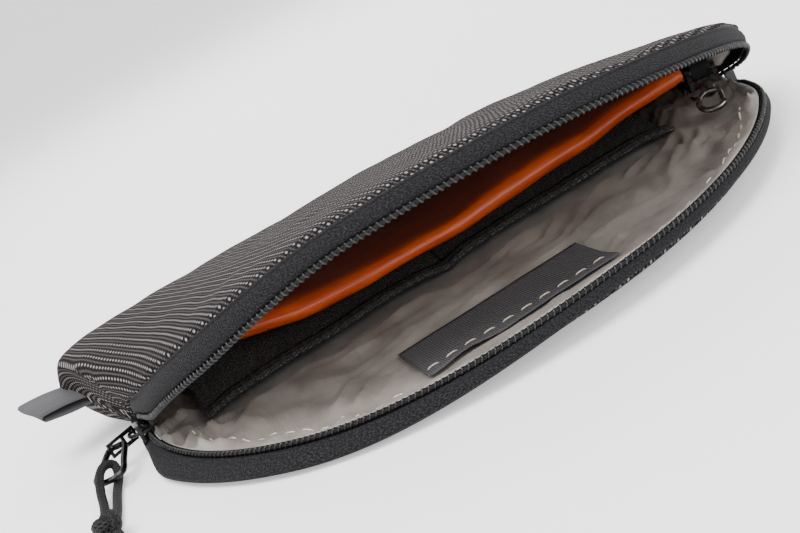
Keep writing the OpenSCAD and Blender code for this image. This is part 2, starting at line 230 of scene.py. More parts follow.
def cloth(name, grid, thick, uv=None, rim=0.35):
    """Closed piece of cloth: the grid is its outer face, thick its depth, and its rim is thinner."""
    nu, nv = grid.shape[:2]
    if uv is None:
        du = np.linalg.norm(np.diff(grid, axis=0, prepend=grid[:1]), axis=-1).mean(1).cumsum()
        dv = np.linalg.norm(np.diff(grid, axis=1, prepend=grid[:, :1]), axis=-1).mean(0).cumsum()
        uv = np.stack(np.meshgrid(du, dv, indexing="ij"), -1)
    deep = np.full(grid.shape[:2] + (1,), float(thick))
    deep[[0, -1]] *= rim
    deep[:, [0, -1]] *= rim
    back = grid - normals(grid) * deep
    verts = np.concatenate([grid.reshape(-1, 3), back.reshape(-1, 3)])
    n = nu * nv
    at = np.arange(n).reshape(nu, nv)
    quads = np.stack([at[:-1, :-1], at[1:, :-1], at[1:, 1:], at[:-1, 1:]], -1).reshape(-1, 4)
    edge = np.concatenate([at[:, 0], at[-1, 1:], at[-2::-1, -1], at[0, -2:0:-1]])
    following = np.roll(edge, -1)
    rim = np.stack([following, edge, edge + n, following + n], -1)
    faces = np.concatenate([quads, quads[:, ::-1] + n, rim]).tolist()
    flat = uv.reshape(-1, 2)
    return finish_mesh(name, verts, faces, np.concatenate([flat, flat]))


def bind_rim(obj, grid, look):
    """Covers the cut edge of a piece made by cloth() in another material."""
    obj.data.materials.append(MATERIALS[look])
    rim = 2 * (grid.shape[0] + grid.shape[1]) - 4
    count = len(obj.data.polygons)
    for k in range(count - rim, count):
        obj.data.polygons[k].material_index = 1


def tube(name, line, radius, sides=8, closed=False):
    """Round cord or wire along a line; radius is one number or one for each point."""
    line = np.asarray(line, float)
    count = len(line)
    radius = np.broadcast_to(np.asarray(radius, float), (count,))
    if closed:
        tangent = np.roll(line, -1, 0) - np.roll(line, 1, 0)
    else:
        tangent = np.gradient(line, axis=0)
    tangent /= np.linalg.norm(tangent, axis=1, keepdims=True)
    side = np.cross(tangent[0], [0, 0, 1.0])
    if np.linalg.norm(side) < 0.1:
        side = np.cross(tangent[0], [0, 1.0, 0])
    rings = []
    turn = np.linspace(0, 2 * math.pi, sides, endpoint=False)
    run = np.concatenate([[0], np.cumsum(np.linalg.norm(np.diff(line, axis=0), axis=1))])
    for point, t, r in zip(line, tangent, radius):
        side = side - t * (side @ t)
        side /= np.linalg.norm(side)
        up = np.cross(side, t)
        rings.append(point + r * (np.cos(turn)[:, None] * side + np.sin(turn)[:, None] * up))
    verts = np.concatenate(rings)
    at = np.arange(count * sides).reshape(count, sides)
    nxt = np.roll(at, -1, 0) if closed else at[1:]
    cur = at if closed else at[:-1]
    faces = np.stack([cur, np.roll(cur, -1, 1), np.roll(nxt, -1, 1), nxt], -1).reshape(-1, 4).tolist()
    if not closed:
        faces += [at[0][::-1].tolist(), at[-1].tolist()]
    uv = np.stack([np.repeat(run, sides), np.tile(turn * radius.mean(), count)], -1)
    return finish_mesh(name, verts, faces, uv)


def stitches(name, line, length, gap, radius, lift=0.0):
    """Row of sewn stitches along a line, each a short rounded thread that dips at its ends."""
    line = np.asarray(line, float)
    run = np.concatenate([[0], np.cumsum(np.linalg.norm(np.diff(line, axis=0), axis=1))])
    verts, faces = [], []
    turn = np.linspace(0, 2 * math.pi, 6, endpoint=False)
    for start in np.arange(gap / 2, run[-1] - length, length + gap):
        at = np.linspace(start, start + length, 6)
        core = np.stack([np.interp(at, run, line[:, k]) for k in range(3)], 1)
        bow = np.array([-0.8, 0.2, 0.45, 0.45, 0.2, -0.8]) * radius
        core[:, 2] += bow + lift
        t = core[-1] - core[0]
        t /= np.linalg.norm(t)
        side = np.cross(t, [0, 0, 1.0])
        side /= np.linalg.norm(side)
        up = np.cross(side, t)
        base = len(verts) * 6
        for k, point in enumerate(core):
            r = radius * (0.55 if k in (0, 5) else 1.0)
            verts.append(point + r * (np.cos(turn)[:, None] * side * 1.25 + np.sin(turn)[:, None] * up))
            if k:
                for j in range(6):
                    a, b = base + (k - 1) * 6, base + k * 6
                    faces.append([a + j, a + (j + 1) % 6, b + (j + 1) % 6, b + j])
        faces.append([base + j for j in range(5, -1, -1)])
        faces.append([base + 30 + j for j in range(6)])
    return finish_mesh(name, np.concatenate(verts), faces)


# ---------------------------------------------------------------- materials


class Graph:
    """Short way to write a node material."""

    def __init__(self, name, roughness, sheen=0.0, metallic=0.0, coat=0.0):
        self.material = bpy.data.materials.new(name)
        self.material.use_nodes = True
        self.tree = self.material.node_tree
        self.shader = self.tree.nodes["Principled BSDF"]
        self.shader.inputs["Roughness"].default_value = roughness
        self.shader.inputs["Sheen Weight"].default_value = sheen
        self.shader.inputs["Metallic"].default_value = metallic
        self.shader.inputs["Coat Weight"].default_value = coat
        self.shader.inputs["Specular IOR Level"].default_value = 0.12 if roughness > 0.6 else 0.5

    def add(self, kind, **settings):
        made = self.tree.nodes.new("ShaderNode" + kind)
        for key, value in settings.items():
            setattr(made, key, value)
        return made

    def put(self, socket, value):
        if isinstance(value, bpy.types.NodeSocket):
            self.tree.links.new(value, socket)
        elif isinstance(value, tuple):
            socket.default_value = (*value, 1) if len(value) == 3 and socket.type == "RGBA" else value
        else:
            socket.default_value = value

    def math(self, operation, *values):
        made = self.add("Math", operation=operation)
        for socket, value in zip(made.inputs, values):
            self.put(socket, value)
        return made.outputs[0]

    def step(self, value, low, high):
        made = self.add("MapRange", interpolation_type="SMOOTHSTEP")
        self.put(made.inputs["Value"], value)
        made.inputs["From Min"].default_value = low
        made.inputs["From Max"].default_value = high
        return made.outputs[0]

    def mix(self, factor, a, b):
        made = self.add("Mix", data_type="RGBA")
        self.put(made.inputs[0], factor)
        self.put(made.inputs[6], a)
        self.put(made.inputs[7], b)
        return made.outputs[2]

    def space(self, turn=0.0, stretch=(1, 1, 1), uv=True):
        """Coordinates in mm: along the cloth's own weave, or in the object's frame."""
        if uv:
            source = self.add("UVMap", uv_map="weave").outputs[0]
            scale = Vector(stretch)
        else:
            source = self.add("TexCoord").outputs["Object"]
            scale = Vector(stretch) / MM
        made = self.add("Mapping")
        self.put(made.inputs["Vector"], source)
        made.inputs["Rotation"].default_value = (0, 0, math.radians(turn))
        made.inputs["Scale"].default_value = scale
        return made.outputs[0]

    def split(self, vector):
        made = self.add("SeparateXYZ")
        self.put(made.inputs[0], vector)
        return made.outputs[0], made.outputs[1]

    def noise(self, vector, size, detail=2.0):
        made = self.add("TexNoise")
        self.put(made.inputs["Vector"], vector)
        made.inputs["Scale"].default_value = 1 / size
        made.inputs["Detail"].default_value = detail
        return made.outputs["Fac"]

    def sine(self, value, period):
        turns = self.math("MULTIPLY", value, 2 * math.pi / period)
        return self.math("MULTIPLY_ADD", self.math("SINE", turns), 0.5, 0.5)

    def sum(self, *terms):
        total = None
        for value, weight in terms:
            part = self.math("MULTIPLY", value, weight)
            total = part if total is None else self.math("ADD", total, part)
        return total

    def colour(self, value):
        self.put(self.shader.inputs["Base Color"], value)
        return self

    def bump(self, height, depth, strength=1.0):
        made = self.add("Bump")
        made.inputs["Strength"].default_value = strength
        made.inputs["Distance"].default_value = depth * MM
        self.put(made.inputs["Height"], height)
        self.put(self.shader.inputs["Normal"], made.outputs[0])
        return self

    def rough(self, value):
        self.put(self.shader.inputs["Roughness"], value)
        return self


def dots(g, x, y, pitch, size, shift=0.0):
    """Staggered rows of small dashes: 1 on a dash, 0 between."""
    row = g.math("ADD", g.math("DIVIDE", x, pitch[0]), shift)
    stagger = g.math("MULTIPLY", g.math("FLOOR", row), 0.5)
    col = g.math("ADD", g.math("DIVIDE", y, pitch[1]), stagger)
    fx = g.math("MULTIPLY", g.math("SUBTRACT", g.math("FRACT", row), 0.5), pitch[0] / size[0])
    fy = g.math("MULTIPLY", g.math("SUBTRACT", g.math("FRACT", col), 0.5), pitch[1] / size[1])
    far = g.math("SQRT", g.math("ADD", g.math("MULTIPLY", fx, fx), g.math("MULTIPLY", fy, fy)))
    return g.math("SUBTRACT", 1.0, g.step(far, 0.55, 1.1))


def textile_material():
    g = Graph("textile_woven", 0.95)
    g.shader.inputs["Specular IOR Level"].default_value = 0.04
    space = g.space(turn=-17)
    x, y = g.split(space)
    lines = dots(g, x, y, (2.1, 0.95), (0.30, 0.46))
    spots = dots(g, x, y, (2.1, 1.85), (0.38, 0.62), shift=0.5)
    thread = g.sine(g.math("ADD", g.math("MULTIPLY", x, 0.5), y), 0.95)
    cross = g.sine(g.math("SUBTRACT", x, g.math("MULTIPLY", y, 0.4)), 1.05)
    weave = g.sum((thread, 0.6), (cross, 0.4))
    worn = g.noise(space, 9.0, 3.0)
    base = g.mix(g.step(weave, 0.25, 0.85), (0.006, 0.005, 0.006), (0.020, 0.018, 0.0185))
    base = g.mix(g.math("MULTIPLY", lines, 0.9), base, (0.085, 0.075, 0.075))
    base = g.mix(spots, base, (0.27, 0.247, 0.24))
    base = g.mix(g.math("MULTIPLY", g.step(worn, 0.35, 0.75), 0.25), base, (0.03, 0.028, 0.029))
    g.colour(base)
    return g.bump(g.sum((spots, 0.7), (lines, 0.4), (weave, 0.3)), 0.3).material


def tape_material():
    g = Graph("tape_woven", 0.85, sheen=0.02)
    space = g.space()
    x = g.split(space)[0]
    fleck = g.noise(g.space(turn=38, stretch=(1.0, 2.4, 1)), 0.55, 3.0)
    ridge = g.sine(x, 0.7)
    base = g.mix(g.step(fleck, 0.42, 0.68), (0.004, 0.004, 0.0045), (0.036, 0.034, 0.038))
    base = g.mix(g.math("MULTIPLY", g.noise(space, 5.0), 0.5), base, (0.011, 0.0105, 0.012))
    g.colour(base)
    return g.bump(g.sum((fleck, 0.8), (ridge, 0.25)), 0.22).material


def elastic_material():
    g = Graph("elastic_ribbed", 0.9, sheen=0.02)
    x, y = g.split(g.space())
    zigzag = g.math("ADD", y, g.math("MULTIPLY", g.math("PINGPONG", x, 1.1), 0.5))
    rib = g.sine(zigzag, 0.8)
    fleck = g.noise(g.space(stretch=(1.5, 1.0, 1)), 0.42, 2.0)
    base = g.mix(g.step(fleck, 0.5, 0.72), (0.024, 0.023, 0.024), (0.34, 0.33, 0.30))
    base = g.mix(g.math("MULTIPLY", rib, 0.45), base, (0.018, 0.017, 0.018))
    g.colour(base)
    return g.bump(g.sum((rib, 0.6), (fleck, 0.5)), 0.25).material


def satin_material():
    g = Graph("satin_lining", 0.42, sheen=0.1)
    space = g.space()
    x, y = g.split(space)
    thread = g.sum((g.sine(x, 0.5), 0.5), (g.sine(y, 0.42), 0.5))
    cloud = g.noise(space, 14.0, 3.0)
    crease = g.noise(g.space(turn=25, stretch=(1, 0.45, 1)), 3.2, 4.0)
    base = g.mix(g.step(cloud, 0.3, 0.7), (0.20, 0.172, 0.152), (0.36, 0.325, 0.295))
    base = g.mix(g.math("MULTIPLY", thread, 0.16), base, (0.20, 0.165, 0.135))
    g.colour(base)
    g.rough(g.math("MULTIPLY_ADD", crease, 0.25, 0.30))
    return g.bump(g.sum((crease, 1.0), (thread, 0.1)), 0.55, 0.8).material


def sleeve_material():
    g = Graph("sleeve_orange", 0.30, coat=0.3)
    y = g.split(g.space())[1]
    thread = g.sine(y, 0.5)
    soft = g.noise(g.space(stretch=(0.3, 1, 1)), 5.0, 3.0)
    base = g.mix(g.step(soft, 0.3, 0.7), (0.50, 0.050, 0.004), (0.74, 0.105, 0.010))
    # Painted shade: the sleeve's face past the fold, beyond 54 mm along the weave's y, is painted deep
    # red as if shadowed under the upper lip.
    back = g.step(y, 54.0, 60.0)
    base = g.mix(g.math("MULTIPLY", back, 0.8), base, (0.11, 0.007, 0.002))
    g.colour(g.mix(g.math("MULTIPLY", thread, 0.15), base, (0.35, 0.03, 0.003)))
    return g.bump(g.sum((soft, 0.8), (thread, 0.12)), 0.3, 0.7).material


def ribbon_material():
    g = Graph("ribbon_grey", 0.8, sheen=0.02)
    space = g.space()
    x, y = g.split(space)
    weave = g.sum((g.sine(x, 0.55), 0.5), (g.sine(g.math("ADD", y, x), 0.45), 0.5))
    worn = g.noise(space, 4.0)
    base = g.mix(g.step(weave, 0.2, 0.8), (0.035, 0.034, 0.038), (0.15, 0.145, 0.152))
    g.colour(g.mix(g.math("MULTIPLY", worn, 0.3), base, (0.06, 0.058, 0.064)))
    return g.bump(weave, 0.16).material


def webbing_material():
    g = Graph("webbing_dark", 0.8, sheen=0.02)
    rib = g.sine(g.split(g.space())[0], 0.9)
    fleck = g.noise(g.space(), 0.5)
    tone = g.step(g.sum((rib, 0.5), (fleck, 0.5)), 0.3, 0.75)
    g.colour(g.mix(tone, (0.008, 0.008, 0.009), (0.05, 0.05, 0.055)))
    return g.bump(g.sum((rib, 0.7), (fleck, 0.3)), 0.18).material


def thread_material(name, light, dark):
    g = Graph(name, 0.7)
    ply = g.noise(g.space(uv=False), 0.35, 2.0)
    g.colour(g.mix(g.step(ply, 0.35, 0.65), dark, light))
    return g.bump(ply, 0.08).material


def coil_material():
    g = Graph("coil_nylon", 0.3)
    wear = g.noise(g.space(uv=False), 0.8, 2.0)
    g.colour(g.mix(g.step(wear, 0.4, 0.75), (0.004, 0.004, 0.0045), (0.016, 0.016, 0.017)))
    g.rough(g.math("MULTIPLY_ADD", wear, 0.2, 0.24))
    return g.bump(wear, 0.03).material


def cord_material():
    g = Graph("cord_braid", 0.75, sheen=0.02)
    x, y = g.split(g.space())
    one = g.sine(g.math("ADD", x, y), 1.0)
    two = g.sine(g.math("SUBTRACT", x, y), 1.0)
    braid = g.math("MAXIMUM", one, two)
    fleck = g.noise(g.space(), 0.6)
    base = g.mix(g.step(braid, 0.5, 0.98), (0.005, 0.0045, 0.005), (0.030, 0.028, 0.029))
    g.colour(g.mix(g.math("MULTIPLY", g.step(fleck, 0.6, 0.7), 0.3), base, (0.09, 0.085, 0.085)))
    return g.bump(braid, 0.2).material


def metal_material(name, light, dark, roughness):
    g = Graph(name, roughness, metallic=1.0, coat=0.1)
    scuff = g.noise(g.space(uv=False), 1.3, 4.0)
    brushed = g.noise(g.space(uv=False, stretch=(1, 6, 1)), 0.8, 2.0)
    g.colour(g.mix(g.step(scuff, 0.35, 0.7), dark, light))
    g.rough(g.math("MULTIPLY_ADD", brushed, 0.22, roughness - 0.08))
    return g.bump(brushed, 0.02).material


MATERIALS = {
    "textile": textile_material(),
    "tape": tape_material(),
    "elastic": elastic_material(),
    "satin": satin_material(),
    "sleeve": sleeve_material(),
    "label": ribbon_material(),
    "webbing": webbing_material(),
    "hem": elastic_material(),
    "coil": coil_material(),
    "cord": cord_material(),
    "cream": thread_material("thread_cream", (0.74, 0.66, 0.55), (0.45, 0.38, 0.30)),
    "black": thread_material("thread_black", (0.020, 0.019, 0.020), (0.006, 0.006, 0.007)),
    "slider_metal": metal_material("slider_gunmetal", (0.07, 0.07, 0.073), (0.02, 0.02, 0.021), 0.34),
    "ring_wire": metal_material("ring_black", (0.035, 0.035, 0.037), (0.010, 0.010, 0.011), 0.3),
    "clip_metal": metal_material("clip_nickel", (0.34, 0.32, 0.30), (0.12, 0.115, 0.11), 0.3),
}


def dress(obj, look):
    obj.data.materials.clear()
    obj.data.materials.append(MATERIALS[look])
    return obj


# ---------------------------------------------------------------- camera and cord


def add_camera():
    view = np.array([0.1795, 0.941, -0.287])
    right = np.array([0.8369, -0.2994, -0.4583])
    view /= np.linalg.norm(view)
    right -= view * (right @ view)
    right /= np.linalg.norm(right)
    up = np.cross(right, view)
    data = bpy.data.cameras.new("camera")
    data.lens = 57.26
    data.sensor_width = 36
    data.clip_start = 0.01
    camera = bpy.data.objects.new("camera", data)
    turn = Matrix(np.stack([right, up, -view], 1).tolist()).to_4x4()
    place = (CENTRE + np.array([-71.4, -309.3, 99.9])) * MM
    camera.matrix_world = Matrix.Translation(place) @ turn
    bpy.context.scene.collection.objects.link(camera)
    bpy.context.scene.camera = camera


CORD_ROUTE = [
    (-0.1016, -0.052, 0.0012), (-0.102, -0.048, 0.002), (-0.1027, -0.043, 0.003),
    (-0.1021, -0.037, 0.0016), (-0.1014, -0.03, 0.0012), (-0.1006, -0.022, 0.0012),
    (-0.0999, -0.017, 0.0012), (-0.0986, -0.013, 0.0023), (-0.0986, -0.01, 0.0042),
    (-0.1005, -0.0116, 0.0055), (-0.1022, -0.016, 0.0054), (-0.1036, -0.02, 0.003),
    (-0.1041, -0.024, 0.0014), (-0.1045, -0.03, 0.0012), (-0.1049, -0.037, 0.0016),
    (-0.1043, -0.043, 0.003), (-0.105, -0.048, 0.002), (-0.1056, -0.052, 0.0012)]
CORD_D = 2.2


def add_cord():
    middle = np.array([CENTRE[0], CENTRE[1], 0])
    line = resample(np.array(CORD_ROUTE) / MM + middle, 120)
    piece = dress(tube("pull_cord_braid", line, CORD_D / 2, 12), "cord")
    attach(piece, "pull")
    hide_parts("pull_cord")
    knot = add_knot(middle)
    length = float(np.linalg.norm(np.diff(line, axis=0), axis=1).sum())


def add_knot(middle):
    """Overhand knot in the doubled cord: two strands wound round each other."""
    low, high = box_mm("cord_knot")
    at = (low + high) / 2
    t = np.linspace(0, 2 * math.pi, 90, endpoint=False)
    strands = []
    for k, (twist, reach) in enumerate(((0.0, 1.0), (0.32, 0.86))):
        a = t + twist
        across = (np.sin(a) + 2 * np.sin(2 * a)) * 0.78 * reach
        upward = (np.cos(a) - 2 * np.cos(2 * a)) * 0.78 * reach
        along = -np.sin(3 * a) * 1.35 + (k - 0.5) * 1.5
        line = at + np.stack([across, along, upward], 1)
        strands.append(tube(f"knot_strand_{k}", line, 1.3, 10, closed=True))
    knot = strands[0]
    with bpy.context.temp_override(active_object=knot, selected_editable_objects=strands, object=knot):
        bpy.ops.object.join()
    knot.name = "knot"
    dress(knot, "cord")
    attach(knot, "pull")
    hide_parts("cord_knot")
    return knot


# ---------------------------------------------------------------- outer cloth


def rear_outline():
    """Points of the rear seam, from the slider round the back to the zip's right end."""
    left = [(-88.3, 1.0, 5.5), (-91.5, 9.0, 8.5), (-97.0, 20.0, 13.0), (-101.5, 30.0, 15.5),
            (-102.0, 37.0, 15.0), (-97.0, 43.5, 13.5), (-88.0, 45.0, 12.0)]
    back = [(x, 45.0, SEAM_Z + 1) for x in np.linspace(-76, 66, 10)]
    right = [(78.0, 43.0, 9.0), (88.0, 35.0, 8.5), (91.5, 22.0, 8.0), (90.5, 9.0, 7.5),
             (87.0, -2.0, 7.2), (82.5, -9.5, 7.0)]
    return resample(np.array(left + back + right), 400) + np.append(CENTRE[:2], 0)


REAR = rear_outline()
HEART = CENTRE[:2] + np.array([0.0, -10.0])


def lip_edge(s):
    """The lip's seam in the open pose: the right end is lifted and pulled in."""
    plan = zip_plan(s)
    closed = np.c_[plan, np.full(len(s), TAPE_TOP)]
    return shape_upper(closed, s)


def raise_corner(points, s):
    shape = (len(s),) + (1,) * (points.ndim - 1)
    out = (smooth(s, 20, 80) * (1 - smooth(s, 110, TAIL_END))).reshape(shape)
    level = smooth(s, 110, TAIL_END).reshape(shape)
    return points + out * np.array([3.5, 1.0, 2.5]) + level * np.array([0.0, 1.0, 3.2])


def notch_limit(y):
    """How far right the pouch reaches, with the notch where the zip turns in."""
    at = np.array([-30.0, -17.0, -13.0, -9.5, -2.0, 9.0, 22.0])
    reach = np.array([95.0, 91.0, 86.0, 83.5, 86.5, 90.5, 95.0])
    return CENTRE[0] + np.interp(y - CENTRE[1], at, reach)


def lip_angles(first, last, on_arc):
    """Angles along the zip for a cloth's grid: many on the arc, and a set number past its end."""
    arc = np.linspace(first, ZIP_END, on_arc)
    return np.concatenate([arc, np.linspace(ZIP_END, last, TAIL_ROWS + 1)[1:]])


def top_grid(nu=150, nv=64):
    """The upper textile as one grid, from the lip's seam over the back to the rear seam."""
    s = lip_angles(-88.5, TAIL_END, nu - TAIL_ROWS)
    start = lip_edge(s)
    reach = 0.975 * MOUTH_R * np.sin(np.radians(np.minimum(s, ZIP_END) + 6))
    want = np.degrees(np.arccos(np.clip((reach + 1) / 90, -1, 1)))
    want -= want[-1] * smooth(s, ZIP_END, 120)
    bearing = np.degrees(np.arctan2(REAR[:, 1] - HEART[1], REAR[:, 0] - HEART[0]))
    order = np.argsort(bearing)
    end = np.stack([np.interp(want, bearing[order], REAR[order, k]) for k in range(3)], 1)
    end[0], end[-1] = REAR[0], REAR[-1]
    x = end[:, 0] - CENTRE[0]
    brow = np.interp(x, [-103, -80, 0, 40, 60, 80, 93], [22.0, 22.5, 20.8, 18.8, 16.0, 12.8, 10.3])
    crown = np.interp(x, [-103, -80, -40, 0, 50, 93], [3.6, 3.4, 1.6, 0.6, 0.3, 0.0])
    span = np.linalg.norm(end[:, :2] - start[:, :2], axis=1)
    short = smooth(span, 6, 34)
    near_ends = [0, 0.015, 0.04, 0.08], [0.92, 0.955, 0.98, 1]
    t = np.concatenate([near_ends[0], np.linspace(0.13, 0.87, 22), near_ends[1]])[:, None]
    lines = []
    for i in range(nu):
        plan = start[i, :2] + t * (end[i, :2] - start[i, :2])
        top = start[i, 2] + (brow[i] - start[i, 2]) * t[:, 0]
        top += crown[i] * short[i] * 4 * t[:, 0] * (1 - t[:, 0])
        top += 0.6 * smooth(t[:, 0] * span[i], 0, 7)
        e = (1 - t[:, 0]) * span[i]
        z = end[i, 2] + (top - end[i, 2]) * swell(e / 13, 2.6)
        z[0] = start[i, 2]
        plan[1:-1, 0] = np.minimum(plan[1:-1, 0], notch_limit(plan[1:-1, 1]))
        lines.append(resample(np.c_[plan, z], nv))
    return relax(np.stack(lines), 10), s


def add_top_cloth():
    grid, s = top_grid()
    n = normals(grid)
    n *= np.sign(n[..., 2:3].mean())
    middle = np.ones(grid.shape[:2])
    middle[:, 0] = middle[:, -1] = 0
    middle[0] = middle[-1] = 0
    ripple = wave(grid, 17.0, 3.1, 0.55) + wave(grid, 6.5, 8.4, 0.22)
    grid = grid + n * (ripple * middle)[..., None]
    uv = flatten(grid)
    piece = dress(cloth("textile_upper", grid[:, ::-1], PANEL, uv[:, ::-1]), "textile")
    bind_rim(piece, grid, "black")
    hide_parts("rear_upper_panel", "front_upper_panel")
    lining_grid = (grid - n * (PANEL + 0.5))[3:-3, 2:-2]
    lining = dress(cloth("satin_upper", lining_grid[:, ::-1], 0.4, uv[3:-3, 2:-2][:, ::-1]), "satin")
    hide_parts("rear_upper_lining", "front_upper_lining")
    for item in (piece, lining):
        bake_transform(item)
    return grid, piece, lining


def add_base_cloth():
    """Bottom textile: flat where it lies, curled up to the seam behind and at the sides."""
    s = zip_angles(ZIP_START, TAIL_END, 2.0)
    front = np.c_[zip_plan(s, -2.0), 0.1 + lip_lift(s)]
    back = REAR[::-1][::3] - np.array([0, 0, PANEL])
    loop = np.concatenate([front, back])
    steps = np.array([0, 0.08, 0.18, 0.32, 0.5, 0.75, 1.0])
    rows = []
    for point in loop:
        d = HEART - point[:2]
        d = d / np.linalg.norm(d)
        run = 13 * steps
        plan = point[:2] + run[:, None] * d
        rows.append(np.c_[plan, np.maximum(point[2] * (1 - steps) ** 2, 0.05)])
    grid = np.stack(rows)
    inner = grid[:, -1]
    more = [inner + (np.array([HEART[0], HEART[1], 0.05]) - inner) * k for k in (0.3, 0.6, 0.85, 0.97)]
    grid = np.concatenate([grid, np.stack(more, 1)], 1)
    grid = np.concatenate([grid, grid[:1]])
    lifted = grid + np.array([0, 0, PANEL])
    piece = dress(cloth("textile_lower", lifted, PANEL - 0.1, lifted[..., :2]), "textile")
    # Painted shade: the base's rim is bound in black so its side, seen below the lifted lip's tape, reads
    # as the dark shade line there.
    bind_rim(piece, lifted, "black")
    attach(piece, "pouch")
    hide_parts("lower_panel")
    return piece


# ---------------------------------------------------------------- zip


def helix(s, height, radius, pitch, lean):
    """Coil along the zip: points of its wire in the closed pose."""
    path = np.concatenate([zip_plan(s), np.full((len(s), 1), height)], 1)
    run = np.concatenate([[0], np.cumsum(np.linalg.norm(np.diff(path, axis=0), axis=1))])
    count = int(run[-1] / pitch * 11)
    at = np.linspace(0, run[-1], count)
    core = np.stack([np.interp(at, run, path[:, k]) for k in range(3)], 1)
    angle = np.interp(at, run, s)
    a = np.radians(angle)
    ray = np.stack([np.sin(a), -np.cos(a), np.zeros(count)], 1)
    turn = at / pitch * 2 * math.pi
    wire = core + ray * (radius * 0.8 * np.cos(turn))[:, None]
    wire[:, 2] += radius * 1.05 * np.sin(turn) * lean
    return wire, core, angle


def add_zip_half(name, height, lean, shape, hold, tape_profile, first, nodes):
    """One side of the zip: its coil, the cord inside it and the tape. hold is called on each piece."""
    s = zip_angles(first, TAIL_END, 1.0)
    wire, core, angle = helix(s, height, COIL_R, 1.5, lean)
    coil = dress(tube(f"{name}_coil_turns", shape(wire, angle), 0.27, 6), "coil")
    filler = dress(tube(f"{name}_coil_cord", shape(core[::6], angle[::6]), 0.5, 6), "black")
    grid = zip_strip(s, tape_profile)
    tape = cloth(f"{name}_tape_woven", shape(grid, s)[:, ::-1], 0.5)
    dress(tape, "tape")
    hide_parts(nodes[0])
    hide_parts(nodes[1], nodes[2])
    for item in (coil, filler, tape):
        hold(item)


def from_centre(points):
    return np.linalg.norm(points[..., :2] - CENTRE[:2], axis=-1)


def shape_lower(points, s):
    """The lower lip curls up right of the middle, and its tape bulges most at the left."""
    points = points.copy()
    if points.ndim == 2:
        points[:, 2] += lip_lift(s)
        return points
    line = np.concatenate([zip_plan(s), np.zeros((len(s), 1))], 1)[:, None]
    offset = points - line
    bulge = 1.2 * smooth(s, -86, -70) * (1 - smooth(s, -45, -5)) - 0.6 * smooth(s, -50, 20)
    outer = from_centre(points) > from_centre(line)
    share = 1 + bulge[:, None, None] * (outer & (offset[..., 2] < LOWER_COIL_Z - 1))[..., None]
    shaped = line + offset * np.concatenate([share, share, np.ones_like(share)], -1)
    narrow = 1 - 0.36 * smooth(s, -35, 20)[:, None] * (shaped[..., 2] < LOWER_COIL_Z)
    shaped[..., 2] = LOWER_COIL_Z + (shaped[..., 2] - LOWER_COIL_Z) * narrow + lip_lift(s)[:, None]
    return shaped


def shape_upper(points, s):
    """The upper lip in the open pose; it sags next to the slider, its coil more than its seam."""
    sag = smooth(s, -86, -72) * (1 - smooth(s, -55, -22))
    share = np.clip((points[..., 2] - UPPER_COIL_Z) / TAPE_W, 0, 1)
    sag = sag.reshape((len(s),) + (1,) * (points.ndim - 2)) * (SAG_COIL - SAG_LESS * share)
    placed = raise_corner(opened(points), s)
    placed[..., 2] -= sag
    return placed


def settle(item):
    """Bakes the piece's transform into its mesh."""
    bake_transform(item)


def blend_end(item):
    """Works out the side across the hinge, which is not used, and bakes the piece's transform into its
    mesh.
    """
    side = np.cross(HINGE_AXIS, [0, 0, 1.0])
    side *= -np.sign(side[1])
    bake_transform(item)


def add_zip():
    low_z, high_z = LOWER_COIL_Z, UPPER_COIL_Z
    lower = [(-0.9, low_z - 0.4), (-0.2, low_z - 0.75), (0.7, low_z - 0.8), (1.8, low_z - 1.3),
             (2.6, low_z - 2.2), (2.7, 1.4), (2.0, 0.5), (0.6, 0.15), (-2.5, 0.12)]
    upper = [(-0.9, high_z + 0.45), (-0.1, high_z + 0.7), (0.55, high_z + 1.3), (0.9, high_z + 2.4),
             (0.8, high_z + 3.5), (0.3, high_z + 4.4), (-0.6, high_z + 4.7)]
    add_zip_half("lower", low_z, 1, shape_lower, settle, lower, ZIP_START,
                 ("lower_zip_coil", "lower_zip_tape", "lower_seam_cord"))
    add_zip_half("upper", high_z, -1, shape_upper, blend_end, upper[::-1], ZIP_START + 3,
                 ("upper_zip_coil", "upper_zip_tape", "upper_seam_cord"))


def add_seam_edge(grid):
    """Turned edge of the textile along the lip's seam, with its row of stitches."""
    edge = grid[:, 0] + np.array([0, -0.1, 0.0])
    roll = dress(tube("seam_roll_upper", edge, 0.42, 8), "black")
    inner = grid[:-20, 1] + np.array([0, 0.2, 0.3])
    sewn = dress(stitches("seam_stitches_upper", inner, 0.5, 1.6, 0.09), "cream")
    for item in (roll, sewn):
        blend_end(item)


# ---------------------------------------------------------------- inside


def beside(grid, node, margin=5.0):
    """Near 0 under a node, where the lining is sewn flat, and 1 away from it."""
    low, high = box_mm(node)
    gap = np.maximum(np.maximum(low - grid, grid - high)[..., :2], 0)
    return 0.1 + 0.9 * smooth(np.linalg.norm(gap, axis=-1), 0, margin)


def creases(points, stretch, size, seed, sharp):
    """Ridges where seeded noise crosses zero: 1 on a crease, 0 between."""
    return 1 - np.minimum(np.abs(wave(points * np.array(stretch), size, seed, 1.0)) * sharp, 1)


